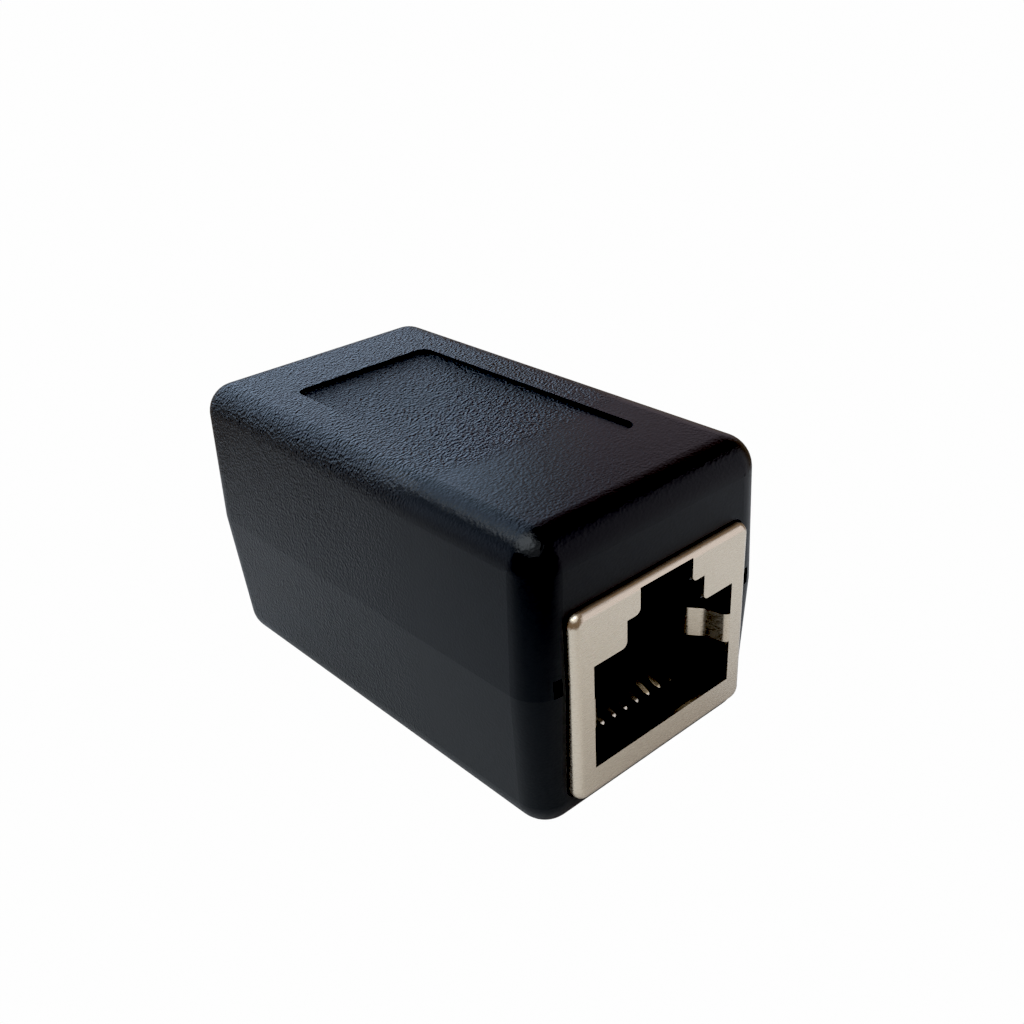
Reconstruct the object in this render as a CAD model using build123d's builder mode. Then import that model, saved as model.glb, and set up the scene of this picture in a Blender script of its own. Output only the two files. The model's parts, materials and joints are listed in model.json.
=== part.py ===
from build123d import *
import os
from math import radians, sqrt, tan

# Inline coupler that joins two shielded eight-way network plugs end to end.
# A drafted two-part plastic housing holds one circuit board, and the board carries
# two identical shielded jacks, back to back. The jacks hang under the board, so each
# port has its latch notch at the top and its eight contacts along the floor.
#
# Millimetres. X runs across the ports, Y from the front port to the rear port and
# Z up. The origin is on the resting face, under the middle of the housing.

# ---------------------------------------------------------------- port opening
port_width = 11.8
port_height = 7.12
step_width = 6.54
step_rise = 1.71
notch_width = 4.4
notch_rise = 1.62
tooth_radius = 0.4

# ---------------------------------------------------------------- folded shield
sheet = 0.25
front_bend = 0.5
corner_bend = 0.8
side_bar = 1.45
bottom_bar = 2.05
top_bar = 0.34
flap_length = 4.2
leg_width = 1.4
leg_depth = 9.6
leg_overhang = 0.9

# Ground spring: a tongue of the shield bent into the port from each side.
spring_height = 2.03
spring_lift = 2.88
spring_root = 0.5
spring_shoulder = (0.52, 1.62)
spring_crest = (1.17, 2.5)
spring_tip = (0.95, 3.5)
spring_bends = (0.25, 1.0, 0.35)
spring_tip_radius = 0.6

# ---------------------------------------------------------------- moulded jack body
fit_gap = 0.05
latch_wall = 1.15
cavity_depth = 10.2
back_wall = 1.4
block_setback = 0.8
pocket_width = 7.2
pocket_rise = 2.3
pocket_depth = 9.0
recess_margin = 0.2
recess_depth = 0.85
recess_end = 5.0
peg_radius = 1.2
peg_spacing = 11.0
peg_depth = 6.6
peg_gap = 0.08
pad_size = 1.1
catch_length = 1.6
catch_height = 1.0
catch_depth = 8.4
catch_lift = 7.76

# ---------------------------------------------------------------- contacts
contact_count = 8
contact_pitch = 1.016
wire_width = 0.36
wire_thickness = 0.3
wire_slot = 0.56
foot_thickness = 0.41
wire_headroom = 0.45
hairpin_depth = 2.6
hairpin_radius = 0.5
beam_angle = 26
knee_rise = 1.75
tip_rise = 2.25
tip_reach = 0.7
row_setback = 0.9
row_spacing = 2.3
tail_overhang = 0.9

# Pegs, pins and their holes are hidden in the housing, so they are drawn eight-sided.
hidden_sides = 8

# ---------------------------------------------------------------- circuit board
board_thickness = 1.6
board_gap = 0.15
board_corner = 0.6
tail_hole_radius = 0.45
leg_gap = 0.12
solder_radius = 0.75
solder_taper = 30
joint_sides = 6
solder_height = 0.6

# ---------------------------------------------------------------- housing
housing_wall = 1.5
side_gap = 0.9
middle_gap = 3.4
port_protrusion = 0.6
board_headroom = 1.58
rail_height = 0.68
parting_height = 10.1
side_draft = 2.6
upper_end_draft = 0.3
lower_end_draft = 1.8
edge_radius = 2.05
opening_gap = 0.1
label_width = 10.9
label_length = 20.8
label_depth = 0.25
label_corner = 0.8
lip_setback = 0.15
lip_width = 0.6
lip_height = 0.8
lip_gap = 0.08
rib_thickness = 1.0
rail_width = 1.2
rail_spacing = 10.0
post_size = 2.4
post_spacing = 11.0
pin_radius = 0.7
pin_height = 1.1
pin_gap = 0.06
boss_size = 3.2
end_rib_depth = 4.6
side_rib_depths = (4.6, 12.6)
stop_width = 7.0
stop_height = 5.0
pry_width = 0.55
pry_height = 1.1
pry_depth = 0.5
pry_setback = 0.55

# ---------------------------------------------------------------- worked-out sizes
catch_front = catch_depth - catch_length / 2
catch_rear = catch_depth + catch_length / 2
shield_width = port_width + 2 * side_bar
shield_height = bottom_bar + port_height + step_rise + notch_rise + top_bar
shield_base = housing_wall + rail_height
shield_top = shield_base + shield_height
shield_middle = shield_base + shield_height / 2
port_floor = shield_base + bottom_bar
shoulder_height = port_floor + port_height
inner_bend = front_bend - sheet
inner_corner_bend = corner_bend - sheet
fold_flat = 2 - sqrt(2)

body_width = shield_width - 2 * sheet - 2 * fit_gap
body_base = shield_base + sheet
body_top = shield_top - sheet
body_rear = cavity_depth + back_wall
tip_depth = cavity_depth + tip_reach
near_row = body_rear + row_setback
far_row = near_row + row_spacing
block_rear = far_row + block_setback
jack_depth = block_rear + fit_gap + sheet
catch_middle = shield_base + catch_lift
wall_edge = shield_top - corner_bend
spring_base = port_floor + spring_lift

foot_top = body_base + foot_thickness
wire_level = foot_top + wire_thickness / 2
board_bottom = shield_top
board_top = board_bottom + board_thickness
tail_length = board_top + tail_overhang - foot_top

housing_width = shield_width + 2 * side_gap + 2 * housing_wall
housing_length = 2 * (jack_depth - port_protrusion) + middle_gap
housing_height = board_top + board_headroom + housing_wall
roof_height = housing_height - housing_wall
reach = housing_length / 2 + port_protrusion
inner_corner = max(edge_radius - housing_wall, 0.3)


def along(depth):
    """Y of a place that lies this far behind the front port's face."""
    return depth - reach


def face_plane(depth):
    """Plane parallel to the front port's face, this far behind it, facing out."""
    return Plane.XZ.offset(reach - depth)


def write(piece, name):
    """Label one finished piece and write its file."""
    piece.part.label = name
    export_step(piece.part, f"parts/{name}.step")


os.makedirs("parts", exist_ok=True)
ends = {"front": 0, "rear": 180}

# ---------------------------------------------------------------- port outline
# Wide at the plug, narrower for its latch, narrowest for the latch's lever.
with BuildSketch(face_plane(0)) as stepped_outline:
    with Locations((0, port_floor)):
        bottom_centre = (Align.CENTER, Align.MIN)
        Rectangle(port_width, port_height, align=bottom_centre)
        Rectangle(step_width, port_height + step_rise, align=bottom_centre)
        Rectangle(notch_width, port_height + step_rise + notch_rise, align=bottom_centre)

# The teeth that the steps leave in the metal are rounded.
with BuildSketch(face_plane(0)) as port_outline:
    add(stepped_outline.sketch)
    levels = port_outline.vertices().group_by(Axis.Y)
    teeth = levels[1].sort_by(Axis.X)[1:3] + levels[2].sort_by(Axis.X)[1:3]
    fillet(teeth, tooth_radius)


# ---------------------------------------------------------------- shield
def folded_box(inset, rear_depth):
    """The shield's form with its edges still sharp, shrunk by inset."""
    with BuildPart() as box:
        with BuildSketch(face_plane(inset)):
            with Locations((0, shield_middle)):
                Rectangle(shield_width - 2 * inset, shield_height - 2 * inset)
        extrude(amount=-(rear_depth - inset))
    return box


# Outside, the folds are round. Inside they are flats that keep the sheet as thick at
# the middle of each fold as elsewhere.
shield_outside = folded_box(0, jack_depth)
with shield_outside:
    fillet(shield_outside.edges().filter_by(Axis.Y), corner_bend)
    fillet(shield_outside.faces().sort_by(Axis.Y)[0].edges(), front_bend)
shield_inside = folded_box(sheet, jack_depth + sheet)
with shield_inside:
    chamfer(shield_inside.edges().filter_by(Axis.Y), fold_flat * inner_corner_bend)
    chamfer(shield_inside.faces().sort_by(Axis.Y)[0].edges(), fold_flat * inner_bend)

# One nickel-plated sheet, folded round the jack. The side towards the board is open
# behind a short front flap, so that pegs, contacts and legs reach the board.
with BuildPart() as shield:
    add(shield_outside.part)
    add(shield_inside.part, mode=Mode.SUBTRACT)
    extrude(port_outline.sketch, amount=-front_bend, mode=Mode.SUBTRACT)

    # Open board side, behind the flap.
    with BuildSketch(Plane.XY.offset(wall_edge)):
        with Locations((0, along((flap_length + jack_depth) / 2))):
            Rectangle(shield_width, jack_depth - flap_length)
    extrude(amount=shield_top - wall_edge, mode=Mode.SUBTRACT)

    # Rear panel, folded up from the bottom between the side walls.
    with BuildSketch(Plane.XY.offset(shield_base)):
        with Locations((0, along(jack_depth - front_bend / 2))):
            Rectangle(shield_width, front_bend)
    extrude(amount=corner_bend, mode=Mode.SUBTRACT)
    with BuildSketch(Plane.YZ.offset(corner_bend - shield_width / 2)):
        with BuildLine():
            FilletPolyline(
                (along(jack_depth - 2 * front_bend), shield_base + sheet / 2),
                (along(jack_depth - sheet / 2), shield_base + sheet / 2),
                (along(jack_depth - sheet / 2), wall_edge),
                radius=front_bend - sheet / 2,
            )
        trace(line_width=sheet)
    extrude(amount=shield_width - 2 * corner_bend)

    # Solder legs, one on each side wall.
    with BuildSketch(Plane.YZ.offset(shield_width / 2 - sheet)):
        with Locations((along(leg_depth), wall_edge)):
            Rectangle(
                leg_width,
                board_top + leg_overhang - wall_edge,
                align=(Align.CENTER, Align.MIN),
            )
    extrude(amount=sheet)
    # Ground spring, traced as a strip seen from above.
    with BuildSketch(Plane.XY.offset(spring_base)):
        with BuildLine():
            FilletPolyline(
                (port_width / 2 + spring_root, along(sheet / 2)),
                (port_width / 2 - sheet / 2, along(sheet / 2)),
                (port_width / 2 - spring_shoulder[0], along(spring_shoulder[1])),
                (port_width / 2 - spring_crest[0], along(spring_crest[1])),
                (port_width / 2 - spring_tip[0], along(spring_tip[1])),
                radius=spring_bends,
            )
        trace(line_width=sheet)
    extrude(amount=spring_height)
    tip_edges = shield.edges().filter_by(
        lambda edge: abs(edge.length - sheet) < 0.01
        and abs(edge.center().Y - along(spring_tip[1])) < sheet
    )
    fillet(tip_edges, spring_tip_radius)
    mirror(about=Plane.YZ)

    # Windows that the body's side catches snap into.
    with BuildSketch(Plane.YZ.offset(-shield_width / 2)):
        with Locations((along(catch_depth), catch_middle)):
            Rectangle(catch_length + 2 * fit_gap, catch_height + 2 * fit_gap)
    extrude(amount=shield_width, mode=Mode.SUBTRACT)

# ---------------------------------------------------------------- contacts
# Each is one flat strip: down through the board, forward under the port's floor, round
# a hairpin and back up into the port as a sprung beam.
turn = 180 - beam_angle
hairpin_corner = hairpin_depth + hairpin_radius * (1 - tan(radians(turn / 2)))
knee_height = port_floor + knee_rise
knee_depth = hairpin_corner + (knee_height - wire_level) / tan(radians(beam_angle))
contacts = []
for number in range(1, contact_count + 1):
    across = ((contact_count + 1) / 2 - number) * contact_pitch
    row_depth = near_row if number % 2 else far_row
    with BuildPart() as contact:
        with BuildSketch(Plane.YZ.offset(across - wire_width / 2)):
            with BuildLine():
                FilletPolyline(
                    (along(row_depth), wire_level),
                    (along(hairpin_corner), wire_level),
                    (along(knee_depth), knee_height),
                    radius=hairpin_radius,
                )
                Line((along(knee_depth), knee_height), (along(tip_depth), port_floor + tip_rise))
            trace(line_width=wire_thickness)
            with Locations((along(row_depth), foot_top)):
                Rectangle(wire_thickness, tail_length, align=(Align.CENTER, Align.MIN))
        extrude(amount=wire_width)
    contacts.append((number, across, row_depth, contact))

for number, across, row_depth, contact in contacts:
    for end, angle in ends.items():
        with BuildPart() as end_contact:
            add(contact.part, rotation=(0, 0, angle))
        write(end_contact, f"{end}_contact_{number}")

for end, angle in ends.items():
    with BuildPart() as end_shield:
        add(shield.part, rotation=(0, 0, angle))
    write(end_shield, f"{end}_shield")

# ---------------------------------------------------------------- jack body
# Moulded insert inside the shield: the cavity that guides the plug, the wall its
# latch hooks behind, and a slotted floor and comb that keep the contacts apart.
slot_front = hairpin_depth - wire_thickness / 2 - (wire_slot - wire_width) / 2
slot_top = knee_height + (tip_rise - knee_rise) + wire_headroom
slot_low = foot_top + wire_thickness + wire_headroom
slot_rear = tip_depth + wire_thickness
foot_width = contact_count * contact_pitch + wire_slot

with BuildPart() as jack_body:
    with BuildSketch(face_plane(sheet)):
        with Locations((0, body_base)):
            Rectangle(body_width, body_top - body_base, align=(Align.CENTER, Align.MIN))
    extrude(amount=-(body_rear - sheet))
    chamfer(jack_body.edges().filter_by(Axis.Y), inner_corner_bend + fit_gap)
    chamfer(jack_body.faces().sort_by(Axis.Y)[0].edges(), inner_bend + fit_gap)

    # Plug cavity, stepped through the latch wall and wider behind it.
    extrude(stepped_outline.sketch, amount=-(sheet + latch_wall), mode=Mode.SUBTRACT)
    with BuildSketch(face_plane(0)):
        with Locations((0, port_floor)):
            Rectangle(port_width, port_height, align=(Align.CENTER, Align.MIN))
    extrude(amount=-cavity_depth, mode=Mode.SUBTRACT)
    with BuildSketch(face_plane(sheet + latch_wall)):
        with Locations((0, port_floor)):
            Rectangle(
                pocket_width, port_height + pocket_rise, align=(Align.CENTER, Align.MIN)
            )
    extrude(amount=-(pocket_depth - sheet - latch_wall), mode=Mode.SUBTRACT)
    # The lever notch is open to the flap above it.
    with BuildSketch(face_plane(0)):
        with Locations((0, shoulder_height + step_rise)):
            Rectangle(
                notch_width,
                body_top - shoulder_height - step_rise,
                align=(Align.CENTER, Align.MIN),
            )
    extrude(amount=-(sheet + latch_wall), mode=Mode.SUBTRACT)

    # Recesses that the ground springs flex into.
    with BuildSketch(face_plane(0)):
        with Locations((0, spring_base + spring_height / 2)):
            Rectangle(
                port_width + 2 * recess_depth, spring_height + 2 * recess_margin
            )
    extrude(amount=-recess_end, mode=Mode.SUBTRACT)

    # Contact slots through the floor and up the comb, and the foot's channel.
    for number, across, row_depth, contact in contacts:
        with BuildSketch(Plane.YZ.offset(across - wire_slot / 2)):
            with BuildLine():
                Polyline(
                    (along(slot_front), body_base),
                    (along(slot_front), port_floor),
                    (along(cavity_depth), port_floor),
                    (along(cavity_depth), slot_top),
                    (along(slot_rear), slot_top),
                    (along(slot_rear), slot_low),
                    (along(body_rear), slot_low),
                    (along(body_rear), body_base),
                    close=True,
                )
            make_face()
        extrude(amount=wire_slot, mode=Mode.SUBTRACT)
    with BuildSketch(Plane.XY.offset(body_base)):
        with Locations((0, along((slot_front + body_rear) / 2))):
            Rectangle(foot_width + 2 * fit_gap, body_rear - slot_front)
    extrude(amount=foot_thickness, mode=Mode.SUBTRACT)

    # Pegs into the board, and the pads that the body stands on.
    with BuildSketch(Plane.XY.offset(body_top)):
        with Locations((0, along(peg_depth))):
            with GridLocations(peg_spacing, 1, 2, 1):
                RegularPolygon(peg_radius, hidden_sides)
    extrude(amount=board_top - body_top)
    with BuildSketch(Plane.XY.offset(body_top)):
        with Locations((0, along(body_rear - pad_size))):
            with GridLocations(peg_spacing, 1, 2, 1):
                Rectangle(pad_size, pad_size)
    extrude(amount=board_bottom - body_top)

    # Side catches: ramps that rise towards the rear and fill the shield's windows.
    for side in (-1, 1):
        with BuildSketch(Plane.XY.offset(catch_middle - catch_height / 2)):
            with BuildLine():
                Polyline(
                    (side * (body_width / 2 - sheet), along(catch_front)),
                    (side * body_width / 2, along(catch_front)),
                    (side * shield_width / 2, along(catch_rear)),
                    (side * (body_width / 2 - sheet), along(catch_rear)),
                    close=True,
                )
            make_face()
        extrude(amount=catch_height)

for end, angle in ends.items():
    with BuildPart() as end_body:
        add(jack_body.part, rotation=(0, 0, angle))
    write(end_body, f"{end}_jack_body")

# ---------------------------------------------------------------- contact block
# Moulded round the contacts: a block behind the cavity and a foot under the floor.
with BuildPart() as contact_block:
    with BuildSketch(face_plane(body_rear)):
        with Locations((0, body_base)):
            Rectangle(body_width, board_bottom - body_base, align=(Align.CENTER, Align.MIN))
    extrude(amount=-(block_rear - body_rear))
    base_edges = contact_block.faces().sort_by(Axis.Z)[0].edges()
    chamfer(base_edges.filter_by(Axis.Y), inner_corner_bend + fit_gap)
    rear_edges = contact_block.faces().sort_by(Axis.Y)[-1].edges()
    chamfer(rear_edges.sort_by(Axis.Z)[0], inner_bend + fit_gap)
    with BuildSketch(face_plane(slot_front + fit_gap)):
        with Locations((0, body_base)):
            Rectangle(foot_width, foot_thickness, align=(Align.CENTER, Align.MIN))
    extrude(amount=-(body_rear - slot_front))
    for number, across, row_depth, contact in contacts:
        add(contact.part, mode=Mode.SUBTRACT)

for end, angle in ends.items():
    with BuildPart() as end_block:
        add(contact_block.part, rotation=(0, 0, angle))
    write(end_block, f"{end}_contact_block")

# ---------------------------------------------------------------- circuit board
side_lean = (board_top - parting_height) * tan(radians(side_draft))
end_lean = (board_top - parting_height) * tan(radians(upper_end_draft))
board_width = housing_width - 2 * (housing_wall + side_lean + board_gap)
board_length = housing_length - 2 * (housing_wall + end_lean + board_gap)
leg_inside = shield_width / 2 - sheet - leg_gap
leg_notch = board_width / 2 - leg_inside

with BuildPart() as circuit_board:
    with BuildSketch(Plane.XY.offset(board_bottom)):
        RectangleRounded(board_width, board_length, board_corner)
        with GridLocations(post_spacing, 1, 2, 1):
            RegularPolygon(pin_radius + pin_gap, hidden_sides, mode=Mode.SUBTRACT)
        for side in (1, -1):
            for number, across, row_depth, contact in contacts:
                with Locations((side * across, side * along(row_depth))):
                    RegularPolygon(tail_hole_radius, joint_sides, mode=Mode.SUBTRACT)
            with Locations((0, side * along(peg_depth))):
                with GridLocations(peg_spacing, 1, 2, 1):
                    RegularPolygon(peg_radius + peg_gap, hidden_sides, mode=Mode.SUBTRACT)
            with Locations((0, side * along(leg_depth))):
                with GridLocations(2 * leg_inside + leg_notch, 1, 2, 1):
                    Rectangle(leg_notch, leg_width + 2 * leg_gap, mode=Mode.SUBTRACT)
    extrude(amount=board_thickness)
write(circuit_board, "circuit_board")

# ---------------------------------------------------------------- solder joints
# A cone of solder round each contact tail, on the board's upper face.
with BuildPart() as solder_joints:
    with BuildSketch(Plane.XY.offset(board_top)):
        for number, across, row_depth, contact in contacts:
            with Locations((across, along(row_depth))):
                RegularPolygon(solder_radius, joint_sides)
    extrude(amount=solder_height, taper=solder_taper)
    for number, across, row_depth, contact in contacts:
        add(contact.part, mode=Mode.SUBTRACT)

for end, angle in ends.items():
    with BuildPart() as end_joints:
        add(solder_joints.part, rotation=(0, 0, angle))
    write(end_joints, f"{end}_solder_joints")


# ---------------------------------------------------------------- housing
def drafted_half(end_height, end_draft, inset, radius, round_end):
    """Half of the housing's form, leaning in from the parting plane to end_height.

    end_draft is the lean of its end walls. inset shrinks it all round, and radius
    rounds its upright edges, and those of its end face too where round_end is true.
    """
    rise = end_height - parting_height
    towards_end = 1 if rise > 0 else -1
    parting_plane = Plane.XY.offset(parting_height)
    with BuildPart() as half:
        with BuildSketch(parting_plane):
            Rectangle(housing_width - 2 * inset, housing_length - 2 * inset)
        extrude(amount=rise)
        draft(half.faces().filter_by(Axis.X), parting_plane, towards_end * side_draft)
        draft(half.faces().filter_by(Axis.Y), parting_plane, towards_end * end_draft)
        end_faces = half.faces().sort_by(Axis.Z)
        parting_face, end_face = (end_faces[0], end_faces[-1])[::towards_end]
        rounded = half.edges() - parting_face.edges()
        if not round_end:
            rounded = rounded - end_face.edges()
        fillet(rounded, radius)
    return half.part


lower_outside = drafted_half(0, lower_end_draft, 0, edge_radius, True)
lower_inside = drafted_half(
    housing_wall, lower_end_draft, housing_wall, inner_corner, False
)
upper_outside = drafted_half(housing_height, upper_end_draft, 0, edge_radius, True)
upper_inside = drafted_half(
    roof_height, upper_end_draft, housing_wall, inner_corner, False
)

# Opening for both shields, through both end walls.
with BuildSketch(face_plane(0)) as opening_outline:
    with Locations((0, shield_middle)):
        RectangleRounded(
            shield_width + 2 * opening_gap,
            shield_height + 2 * opening_gap,
            corner_bend + opening_gap,
        )

# Ribs between the side walls and the shields, seen from above.
rib_inside = shield_width / 2 + opening_gap
rib_outside = housing_width / 2 - parting_height * tan(radians(side_draft)) - housing_wall / 2
with BuildSketch(Plane.XY) as rib_plan:
    for depth in side_rib_depths:
        with GridLocations(rib_inside + rib_outside, -2 * along(depth), 2, 2):
            Rectangle(rib_outside - rib_inside, rib_thickness)

# Outline of the lip that stands on the lower half, inside the parting line.
lip_inset = housing_wall - lip_setback - lip_width
lip_span = housing_width - 2 * lip_inset
lip_reach = housing_length - 2 * lip_inset
lip_corner = inner_corner + lip_width

# Lower half: floor rails under the shields, stops behind them, posts up to the board
# with pins through it, and a lip standing inside the parting line.
with BuildPart() as lower_shell:
    add(lower_outside)
    with BuildSketch(Plane.XY.offset(parting_height)):
        RectangleRounded(lip_span, lip_reach, lip_corner)
        offset(amount=-lip_width, mode=Mode.SUBTRACT)
    extrude(amount=lip_height)
    add(lower_inside, mode=Mode.SUBTRACT)
    extrude(opening_outline.sketch, amount=-2 * reach, mode=Mode.SUBTRACT)
    extrude(Pos(Z=housing_wall) * rib_plan.sketch, amount=parting_height - housing_wall)
    with BuildSketch(Plane.XY.offset(housing_wall)):
        with GridLocations(rail_spacing, 1, 2, 1):
            Rectangle(rail_width, housing_length - 2 * housing_wall)
    extrude(amount=rail_height)
    with BuildSketch(Plane.XY.offset(housing_wall)):
        for side in (-1, 1):
            with Locations((0, side * (along(jack_depth) + fit_gap + rib_thickness / 2))):
                Rectangle(stop_width, rib_thickness)
    extrude(amount=rail_height + stop_height)
    with BuildSketch(Plane.XY.offset(housing_wall)):
        with GridLocations(post_spacing, 1, 2, 1):
            Rectangle(post_size, post_size)
    extrude(amount=board_bottom - housing_wall)
    with BuildSketch(Plane.XY.offset(board_bottom)):
        with GridLocations(post_spacing, 1, 2, 1):
            RegularPolygon(pin_radius, hidden_sides)
    extrude(amount=board_thickness + pin_height)
write(lower_shell, "lower_shell")

rib_foot = parting_height + lip_height + lip_gap

# Upper half: a rebate over the lip, bosses and end ribs that hold the board down, and
# a shallow label panel in the top.
with BuildPart() as upper_shell:
    add(upper_outside)
    add(upper_inside, mode=Mode.SUBTRACT)
    with BuildSketch(Plane.XY.offset(parting_height)):
        RectangleRounded(lip_span + 2 * lip_gap, lip_reach + 2 * lip_gap, lip_corner + lip_gap)
    extrude(amount=lip_height + lip_gap, mode=Mode.SUBTRACT)
    with BuildSketch(Plane.XY.offset(housing_height)):
        RectangleRounded(label_width, label_length, label_corner)
    extrude(amount=-label_depth, mode=Mode.SUBTRACT)
    extrude(opening_outline.sketch, amount=-2 * reach, mode=Mode.SUBTRACT)
    extrude(Pos(Z=rib_foot) * rib_plan.sketch, amount=wall_edge - rib_foot)
    with BuildSketch(Plane.XY.offset(board_top)):
        for side in (-1, 1):
            with Locations((0, side * along(end_rib_depth))):
                Rectangle(board_width - 2 * side_gap, rib_thickness)
        with GridLocations(post_spacing, 1, 2, 1):
            Rectangle(boss_size, boss_size)
    extrude(amount=roof_height - board_top)
    with BuildSketch(Plane.XY.offset(board_top)):
        with GridLocations(post_spacing, 1, 2, 1):
            RegularPolygon(pin_radius + pin_gap, hidden_sides)
    extrude(amount=pin_height + pin_gap, mode=Mode.SUBTRACT)
    # Small notches at the parting line beside the ports, for prising the halves apart.
    with BuildSketch(Plane.XY.offset(parting_height)):
        with GridLocations(
            shield_width + 2 * (opening_gap + pry_setback), housing_length - pry_depth, 2, 2
        ):
            Rectangle(pry_width, pry_depth)
    extrude(amount=pry_height, mode=Mode.SUBTRACT)
write(upper_shell, "upper_shell")
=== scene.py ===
import json
from math import pi, radians

import bpy
from mathutils import Matrix, Vector


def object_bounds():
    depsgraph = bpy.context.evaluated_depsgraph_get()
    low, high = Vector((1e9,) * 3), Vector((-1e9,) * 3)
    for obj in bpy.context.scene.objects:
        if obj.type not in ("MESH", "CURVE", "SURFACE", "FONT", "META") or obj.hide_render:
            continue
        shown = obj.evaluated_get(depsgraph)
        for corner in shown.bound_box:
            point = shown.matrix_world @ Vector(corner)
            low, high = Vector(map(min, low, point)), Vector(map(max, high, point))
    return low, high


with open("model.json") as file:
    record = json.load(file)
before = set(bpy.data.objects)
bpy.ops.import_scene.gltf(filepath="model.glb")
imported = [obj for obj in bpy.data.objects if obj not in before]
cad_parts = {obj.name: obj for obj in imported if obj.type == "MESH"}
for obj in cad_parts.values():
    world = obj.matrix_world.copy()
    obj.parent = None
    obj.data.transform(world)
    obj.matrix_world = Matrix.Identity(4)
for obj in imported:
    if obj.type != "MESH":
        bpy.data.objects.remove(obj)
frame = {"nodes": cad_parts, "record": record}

MM = 0.001
cad_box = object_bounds()
low, high = (Vector(corner) for corner in cad_box)
middle = (low + high) / 2
foot = (0, 0, low.z)

# Noise is mostly between these two values.
NOISE_LOW = 0.3
NOISE_HIGH = 0.7

# The stage, in metres.
FLOOR_SIZE = 40.0
BACKDROP_RADIUS = 1.5
TABLE_SIZE = 0.10

WHITE = (1, 1, 1, 1)
BACKDROP_GLOW = 0.99
DAYLIGHT = (0.62, 0.86, 1.20)
BLACK_LEVEL = (0.015, 0.015, 0.015)


# ---------------------------------------------------------------- node helpers
def new_material(name):
    """A material, its node tree and its Principled shader."""
    material = bpy.data.materials.new(name)
    material.use_nodes = True
    return material, material.node_tree, material.node_tree.nodes["Principled BSDF"]


def add_node(tree, kind, inputs=(), **settings):
    """A node with its settings, and its inputs set to values or linked to sockets."""
    node = tree.nodes.new(kind)
    for key, value in settings.items():
        setattr(node, key, value)
    for key, value in dict(inputs).items():
        if isinstance(value, bpy.types.NodeSocket):
            tree.links.new(value, node.inputs[key])
        else:
            node.inputs[key].default_value = value
    return node


def feed(tree, shader, sources):
    """Link each named input of the shader to its source."""
    for name, source in sources.items():
        tree.links.new(source, shader.inputs[name])


def object_position(tree, factors=(1, 1, 1)):
    """Position on the part in millimetres, times a factor along each axis."""
    coordinates = add_node(tree, "ShaderNodeTexCoord")
    mapping = add_node(
        tree,
        "ShaderNodeMapping",
        {
            "Vector": coordinates.outputs["Object"],
            "Scale": [factor / MM for factor in factors],
        },
    )
    return mapping.outputs["Vector"]


def facing_up(tree):
    """How far the surface faces up, from -1 underneath to 1 on top."""
    normal = add_node(tree, "ShaderNodeTexCoord").outputs["Normal"]
    return add_node(tree, "ShaderNodeSeparateXYZ", {"Vector": normal}).outputs["Z"]


def noise(tree, position, scale, detail=2.0, roughness=0.5):
    """Noise between 0 and 1, with scale features to a unit of the position."""
    node = add_node(
        tree,
        "ShaderNodeTexNoise",
        {"Vector": position, "Scale": scale, "Detail": detail, "Roughness": roughness},
    )
    return node.outputs["Fac"]


def spread(tree, value, low_end, high_end, from_low=NOISE_LOW, from_high=NOISE_HIGH):
    """The value stretched from from_low..from_high onto low_end..high_end."""
    node = add_node(
        tree,
        "ShaderNodeMapRange",
        {
            "Value": value,
            "From Min": from_low,
            "From Max": from_high,
            "To Min": low_end,
            "To Max": high_end,
        },
    )
    return node.outputs["Result"]


def combine(tree, operation, first, second):
    """The two values added or multiplied."""
    node = add_node(tree, "ShaderNodeMath", {0: first, 1: second}, operation=operation)
    return node.outputs["Value"]


def blend_colour(tree, factor, darker, lighter):
    """The darker colour where the factor is 0, the lighter one where it is 1."""
    node = add_node(tree, "ShaderNodeMix", data_type="RGBA")
    tree.links.new(factor, node.inputs["Factor"])
    node.inputs["A"].default_value = (*darker, 1)
    node.inputs["B"].default_value = (*lighter, 1)
    return node.outputs["Result"]


def bump(tree, height, depth):
    """A bump that stands depth metres proud where the height is 1."""
    inputs = {"Height": height, "Distance": depth, "Strength": 1.0}
    return add_node(tree, "ShaderNodeBump", inputs).outputs["Normal"]


# ---------------------------------------------------------------- materials
def slanted_pebbles(tree, position):
    """Rounded cells drawn out along a slant, with wandering edges."""
    slant = radians(18)
    stretch = 1.7
    wander = 0.4
    coordinates = add_node(tree, "ShaderNodeTexCoord")
    slanted = add_node(
        tree,
        "ShaderNodeMapping",
        {
            "Vector": coordinates.outputs["Object"],
            "Rotation": (0, 0, slant),
            "Scale": (stretch * MM, MM, MM),
        },
        vector_type="TEXTURE",
    )
    warp = add_node(tree, "ShaderNodeTexNoise", {"Vector": position, "Scale": 0.9, "Detail": 1.0})
    drift = add_node(
        tree,
        "ShaderNodeVectorMath",
        {0: warp.outputs["Color"], "Scale": wander},
        operation="SCALE",
    )
    bent = add_node(
        tree,
        "ShaderNodeVectorMath",
        {0: slanted.outputs["Vector"], 1: drift.outputs["Vector"]},
        operation="ADD",
    )
    cells = add_node(
        tree,
        "ShaderNodeTexVoronoi",
        {"Vector": bent.outputs["Vector"], "Scale": 6.0, "Smoothness": 0.35},
        feature="SMOOTH_F1",
    )
    return cells.outputs["Distance"]


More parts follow.
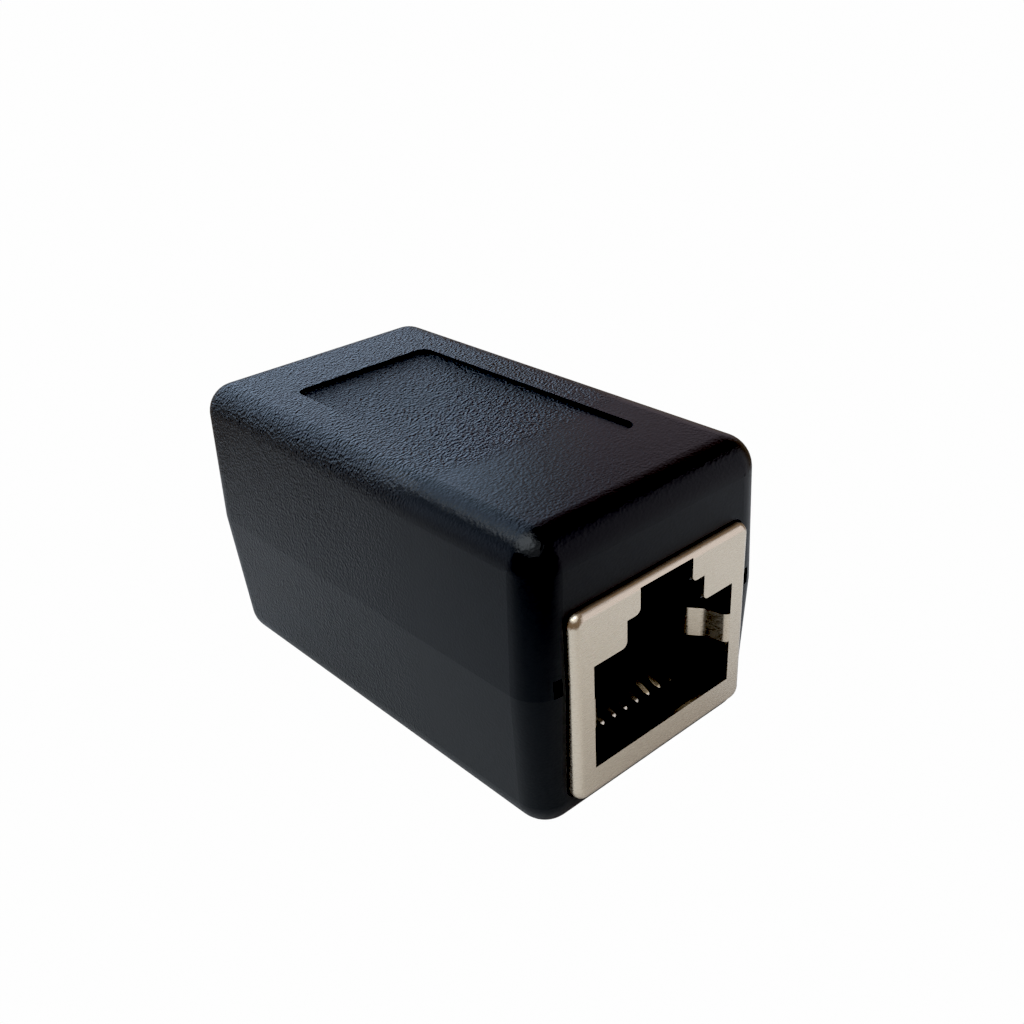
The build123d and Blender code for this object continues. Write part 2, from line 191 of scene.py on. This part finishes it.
def grain_height(tree, position, upward):
    """Pebbled leather grain, deep on the top and shallow on the walls and the front."""
    fine = noise(tree, position, scale=6.0, detail=2.0, roughness=0.6)
    grain = combine(tree, "ADD", slanted_pebbles(tree, position), fine)
    top_depth = spread(tree, upward, low_end=0.25, high_end=1.0, from_low=0.1, from_high=0.8)
    # Towards the front port it fades, from y = 3 mm to y = -7 mm.
    along = add_node(tree, "ShaderNodeSeparateXYZ", {"Vector": position}).outputs["Y"]
    front_depth = spread(tree, along, low_end=0.06, high_end=1.0, from_low=-7.0, from_high=3.0)
    depth = combine(tree, "MULTIPLY", top_depth, front_depth)
    return combine(tree, "MULTIPLY", grain, depth)


def grained_plastic():
    """Black moulded housing with a leathery grain, glossier on top than on the walls."""
    material, tree, shader = new_material("grained_plastic")
    position = object_position(tree)
    upward = facing_up(tree)
    tone = noise(tree, position, scale=0.15, detail=3.0)
    black = blend_colour(
        tree, tone, darker=(0.0028, 0.0032, 0.0040), lighter=(0.0042, 0.0046, 0.0055)
    )
    roughness = spread(tree, upward, low_end=0.42, high_end=0.27, from_low=0.0, from_high=0.8)
    grain = bump(tree, grain_height(tree, position, upward), depth=0.21 * MM)
    feed(tree, shader, {"Base Color": black, "Roughness": roughness, "Normal": grain})
    shader.inputs["Specular IOR Level"].default_value = 0.21
    return material


def nickel_plate():
    """Satin nickel on rolled sheet, with faint level streaks."""
    material, tree, shader = new_material("nickel_plate")
    rolled = noise(tree, object_position(tree, factors=(1, 1, 9)), scale=1.6, detail=3.0)
    cloudy = noise(tree, object_position(tree), scale=0.35, detail=4.0)
    nickel = blend_colour(tree, cloudy, darker=(0.58, 0.505, 0.405), lighter=(0.63, 0.55, 0.445))
    roughness = spread(tree, rolled, low_end=0.22, high_end=0.32)
    streaks = bump(tree, rolled, depth=0.0005 * MM)
    feed(tree, shader, {"Base Color": nickel, "Roughness": roughness, "Normal": streaks})
    shader.inputs["Metallic"].default_value = 1.0
    return material


def smooth_plastic():
    """Black moulded insert, with less texture than the housing."""
    material, tree, shader = new_material("smooth_plastic")
    position = object_position(tree)
    tone = noise(tree, position, scale=0.5, detail=3.0)
    black = blend_colour(tree, tone, darker=(0.003, 0.003, 0.003), lighter=(0.005, 0.005, 0.006))
    roughness = spread(tree, noise(tree, position, scale=1.5), low_end=0.35, high_end=0.5)
    texture = bump(tree, noise(tree, position, scale=6.0), depth=0.01 * MM)
    feed(tree, shader, {"Base Color": black, "Roughness": roughness, "Normal": texture})
    shader.inputs["Specular IOR Level"].default_value = 0.35
    return material


def gold_flash():
    """Thin pale gold over sprung bronze strip."""
    material, tree, shader = new_material("gold_flash")
    position = object_position(tree)
    tone = noise(tree, position, scale=0.8, detail=3.0)
    gold = blend_colour(tree, tone, darker=(0.80, 0.74, 0.62), lighter=(0.86, 0.80, 0.68))
    roughness = spread(tree, noise(tree, position, scale=3.0), low_end=0.14, high_end=0.24)
    feed(tree, shader, {"Base Color": gold, "Roughness": roughness})
    shader.inputs["Metallic"].default_value = 1.0
    return material


def solder_mask():
    """Green mask over glass laminate, with a faint weave."""
    material, tree, shader = new_material("solder_mask")
    weave = noise(tree, object_position(tree, factors=(3, 0.5, 1)), scale=1.0)
    green = blend_colour(tree, weave, darker=(0.008, 0.09, 0.03), lighter=(0.012, 0.13, 0.045))
    gloss = noise(tree, object_position(tree), scale=1.0)
    roughness = spread(tree, gloss, low_end=0.2, high_end=0.3)
    relief = bump(tree, weave, depth=0.01 * MM)
    feed(tree, shader, {"Base Color": green, "Roughness": roughness, "Normal": relief})
    return material


def tin_solder():
    """Bright tin joints."""
    material, tree, shader = new_material("tin_solder")
    tone = noise(tree, object_position(tree), scale=2.0, detail=3.0)
    tin = blend_colour(tree, tone, darker=(0.62, 0.62, 0.62), lighter=(0.74, 0.74, 0.73))
    roughness = spread(tree, tone, low_end=0.15, high_end=0.4)
    feed(tree, shader, {"Base Color": tin, "Roughness": roughness})
    shader.inputs["Metallic"].default_value = 1.0
    return material


finishes = {
    "housing": grained_plastic(),
    "shield": nickel_plate(),
    "jack_plastic": smooth_plastic(),
    "contact": gold_flash(),
    "board": solder_mask(),
    "solder": tin_solder(),
}
slots = {part["node"]: part["material_slot"] for part in frame["record"]["subparts"]}
for name, piece in frame["nodes"].items():
    piece.data.materials.clear()
    piece.data.materials.append(finishes[slots[name]])


# ---------------------------------------------------------------- stage
def stage_surface(name, base, glow, for_camera):
    """Dress the surface just added, which the camera alone sees or everything else does."""
    surface = bpy.context.object
    surface.name = name
    surface.visible_camera = for_camera
    surface.visible_diffuse = not for_camera
    surface.visible_glossy = not for_camera
    surface.visible_shadow = not for_camera
    material, _, shader = new_material(name)
    shader.inputs["Base Color"].default_value = (base, base, base, 1)
    shader.inputs["Roughness"].default_value = 0.9
    shader.inputs["Specular IOR Level"].default_value = 0.0
    shader.inputs["Emission Color"].default_value = WHITE
    shader.inputs["Emission Strength"].default_value = glow
    surface.data.materials.append(material)


def soft_light(name, bearing, elevation, distance, width, height, brightness, colour):
    """A panel of even light that faces the part, in metres and degrees.

    Its bearing goes from +Y towards +X. Its power follows its area, so a larger panel
    is as bright as a small one.
    """
    lamp = bpy.data.lights.new(name, "AREA")
    lamp.shape = "RECTANGLE"
    lamp.size = width
    lamp.size_y = height
    lamp.energy = brightness * pi * width * height
    lamp.color = colour
    holder = bpy.data.objects.new(name, lamp)
    holder.visible_camera = False
    bpy.context.scene.collection.objects.link(holder)
    turn = Matrix.Rotation(radians(-bearing), 3, "Z") @ Matrix.Rotation(
        radians(elevation - 90), 3, "X"
    )
    holder.location = middle + turn @ Vector((0, 0, distance))
    holder.rotation_euler = turn.to_euler()


def even_sky(colour, strength):
    """The same soft light from all round."""
    world = bpy.data.worlds.new("sky")
    world.use_nodes = True
    background = world.node_tree.nodes["Background"]
    background.inputs["Color"].default_value = (*colour, 1)
    background.inputs["Strength"].default_value = strength
    bpy.context.scene.world = world


# The camera sees a white floor and backdrop. The part stands on the table and mirrors it.
bpy.ops.mesh.primitive_plane_add(size=FLOOR_SIZE, location=foot)
stage_surface("floor", base=0.0, glow=BACKDROP_GLOW, for_camera=True)
bpy.ops.mesh.primitive_uv_sphere_add(radius=BACKDROP_RADIUS, location=middle)
stage_surface("backdrop", base=0.0, glow=BACKDROP_GLOW, for_camera=True)
bpy.ops.mesh.primitive_plane_add(size=TABLE_SIZE, location=foot)
stage_surface("table", base=0.8, glow=0.0, for_camera=False)
even_sky(colour=(0.24, 0.18, 0.13), strength=1.0)

# For the sheen of the top: a window, the wall round it, and walls beside and above it.
soft_light(
    "window", bearing=13, elevation=21, distance=0.30,
    width=0.28, height=0.195, brightness=1.9, colour=DAYLIGHT
)
soft_light(
    "wall", bearing=-14, elevation=21, distance=0.36,
    width=0.52, height=0.28, brightness=0.4, colour=DAYLIGHT
)
soft_light(
    "far_wall", bearing=60, elevation=20, distance=0.30,
    width=0.17, height=0.16, brightness=0.3, colour=(1.0, 0.92, 1.25)
)
soft_light(
    "high_wall", bearing=2, elevation=47, distance=0.36,
    width=0.20, height=0.12, brightness=1.4, colour=DAYLIGHT
)
# For the sheen of the long side.
soft_light(
    "low_wall", bearing=-48, elevation=6, distance=0.36,
    width=0.25, height=0.25, brightness=0.7, colour=(0.80, 0.92, 1.10)
)
# For the front shield, and for the bends of the contacts in its port.
soft_light(
    "room", bearing=134, elevation=6, distance=0.40,
    width=0.36, height=0.46, brightness=0.85, colour=(0.92, 0.97, 1.12)
)
soft_light(
    "port_glint", bearing=131, elevation=44, distance=0.36,
    width=0.08, height=0.10, brightness=0.65, colour=(0.86, 0.97, 1.20)
)
# From above, for all of the part.
soft_light(
    "main", bearing=-55, elevation=65, distance=0.50,
    width=0.40, height=0.40, brightness=3.75, colour=(0.90, 1.0, 1.08)
)
soft_light(
    "ceiling", bearing=-131, elevation=60, distance=0.50,
    width=0.46, height=0.46, brightness=1.1, colour=(0.92, 1.0, 1.06)
)


# ---------------------------------------------------------------- camera
def studio_camera(azimuth, elevation, roll, distance, aim, lens, shift):
    """Camera that looks at aim, azimuth degrees to the left of +Y and elevation down."""
    data = bpy.data.cameras.new("camera")
    data.sensor_width = 36.0
    data.lens = lens
    data.shift_x, data.shift_y = shift
    data.clip_start = 5 * MM
    camera = bpy.data.objects.new("camera", data)
    bpy.context.scene.collection.objects.link(camera)
    turn = (
        Matrix.Rotation(radians(azimuth), 3, "Z")
        @ Matrix.Rotation(radians(90 - elevation), 3, "X")
        @ Matrix.Rotation(radians(roll), 3, "Z")
    )
    camera.rotation_euler = turn.to_euler()
    camera.location = aim + turn @ Vector((0, 0, distance))
    bpy.context.scene.camera = camera


studio_camera(
    azimuth=-41.02,
    elevation=32.01,
    roll=-3.23,
    distance=75.65 * MM,
    aim=middle + Vector((1.60, -3.96, -3.12)) * MM,
    lens=39.22,
    shift=(-0.0165, 0.0799),
)
view = bpy.context.scene.view_settings
view.view_transform = "Standard"
view.use_curve_mapping = True
view.curve_mapping.black_level = BLACK_LEVEL
view.curve_mapping.update()
